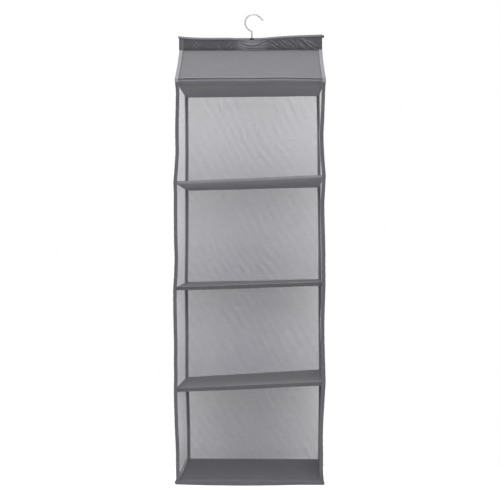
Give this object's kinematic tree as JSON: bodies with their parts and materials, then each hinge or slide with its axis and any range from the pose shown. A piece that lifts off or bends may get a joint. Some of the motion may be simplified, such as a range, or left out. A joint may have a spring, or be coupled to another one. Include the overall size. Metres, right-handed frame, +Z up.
{
  "type": "shoe organizer",
  "caption": "Hanging closet shoe organizer with a swivel hook, a sloped cloth roof, open mesh-walled compartments with stiff shelves, and walls that fold flat.",
  "frame": {"origin": "the inner top of the hook's loop, where it rests on the rail, on the axis that the hook swivels about", "axes": "+X the organizer's right seen from its open front, +Y its back, +Z up"},
  "size_m": [0.3025, 0.303, 0.9635],
  "materials": {
    "steel": "satin",
    "black_plastic": "matte",
    "bar_paint": "satin",
    "dark_cloth": "matte",
    "grey_cloth": "matte",
    "tape_cloth": "matte",
    "mesh_net": "matte",
    "cardboard": "matte"
  },
  "bodies": {
    "hook": {"hook": "steel"},
    "hanger": {"hook_saddle": "black_plastic", "hook_washer": "steel", "hanger_bar": "bar_paint", "bar_cap_left": "black_plastic", "bar_cap_right": "black_plastic", "hanger_sleeve": "dark_cloth", "roof_front": "grey_cloth", "roof_back": "grey_cloth", "gable_left": "grey_cloth", "gable_right": "grey_cloth", "roof_tape_front_left": "tape_cloth", "roof_tape_front_right": "tape_cloth", "roof_tape_back_left": "tape_cloth", "roof_tape_back_right": "tape_cloth"},
    "top": {"top_cover": "grey_cloth", "top_board": "cardboard", "back_mesh_1": "mesh_net", "left_mesh_1": "mesh_net", "right_mesh_1": "mesh_net", "front_left_tape_1": "tape_cloth", "front_right_tape_1": "tape_cloth", "back_left_tape_1": "tape_cloth", "back_right_tape_1": "tape_cloth"},
    "shelf_1": {"shelf_1_cover": "grey_cloth", "shelf_1_board": "cardboard", "back_mesh_2": "mesh_net", "left_mesh_2": "mesh_net", "right_mesh_2": "mesh_net", "front_left_tape_2": "tape_cloth", "front_right_tape_2": "tape_cloth", "back_left_tape_2": "tape_cloth", "back_right_tape_2": "tape_cloth"},
    "shelf_2": {"shelf_2_cover": "grey_cloth", "shelf_2_board": "cardboard", "back_mesh_3": "mesh_net", "left_mesh_3": "mesh_net", "right_mesh_3": "mesh_net", "front_left_tape_3": "tape_cloth", "front_right_tape_3": "tape_cloth", "back_left_tape_3": "tape_cloth", "back_right_tape_3": "tape_cloth"},
    "shelf_3": {"shelf_3_cover": "grey_cloth", "shelf_3_board": "cardboard", "back_mesh_4": "mesh_net", "left_mesh_4": "mesh_net", "right_mesh_4": "mesh_net", "front_left_tape_4": "tape_cloth", "front_right_tape_4": "tape_cloth", "back_left_tape_4": "tape_cloth", "back_right_tape_4": "tape_cloth"},
    "bottom": {"bottom_cover": "grey_cloth", "bottom_board": "cardboard", "bottom_hem": "tape_cloth"}
  },
  "joints": [
    {"name": "hook_swivel", "type": "hinge", "parent": "hook", "child": "hanger", "pos_m": [0, 0, 0], "axis": [0, 0, 1], "continuous": true},
    {"name": "top_lift", "type": "slide", "parent": "hanger", "child": "top", "axis": [0, 0, 1], "range_m": [0, 0.062], "deforming": ["roof_front", "roof_back", "gable_left", "gable_right", "roof_tape_front_left", "roof_tape_front_right", "roof_tape_back_left", "roof_tape_back_right"]},
    {"name": "shelf_1_lift", "type": "slide", "parent": "top", "child": "shelf_1", "axis": [0, 0, 1], "range_m": [0, 0.165], "deforming": ["back_mesh_1", "left_mesh_1", "right_mesh_1", "front_left_tape_1", "front_right_tape_1", "back_left_tape_1", "back_right_tape_1"]},
    {"name": "shelf_2_lift", "type": "slide", "parent": "shelf_1", "child": "shelf_2", "axis": [0, 0, 1], "range_m": [0, 0.165], "deforming": ["back_mesh_2", "left_mesh_2", "right_mesh_2", "front_left_tape_2", "front_right_tape_2", "back_left_tape_2", "back_right_tape_2"]},
    {"name": "shelf_3_lift", "type": "slide", "parent": "shelf_2", "child": "shelf_3", "axis": [0, 0, 1], "range_m": [0, 0.165], "deforming": ["back_mesh_3", "left_mesh_3", "right_mesh_3", "front_left_tape_3", "front_right_tape_3", "back_left_tape_3", "back_right_tape_3"]},
    {"name": "bottom_lift", "type": "slide", "parent": "shelf_3", "child": "bottom", "axis": [0, 0, 1], "range_m": [0, 0.165], "deforming": ["back_mesh_4", "left_mesh_4", "right_mesh_4", "front_left_tape_4", "front_right_tape_4", "back_left_tape_4", "back_right_tape_4"]}
  ]
}
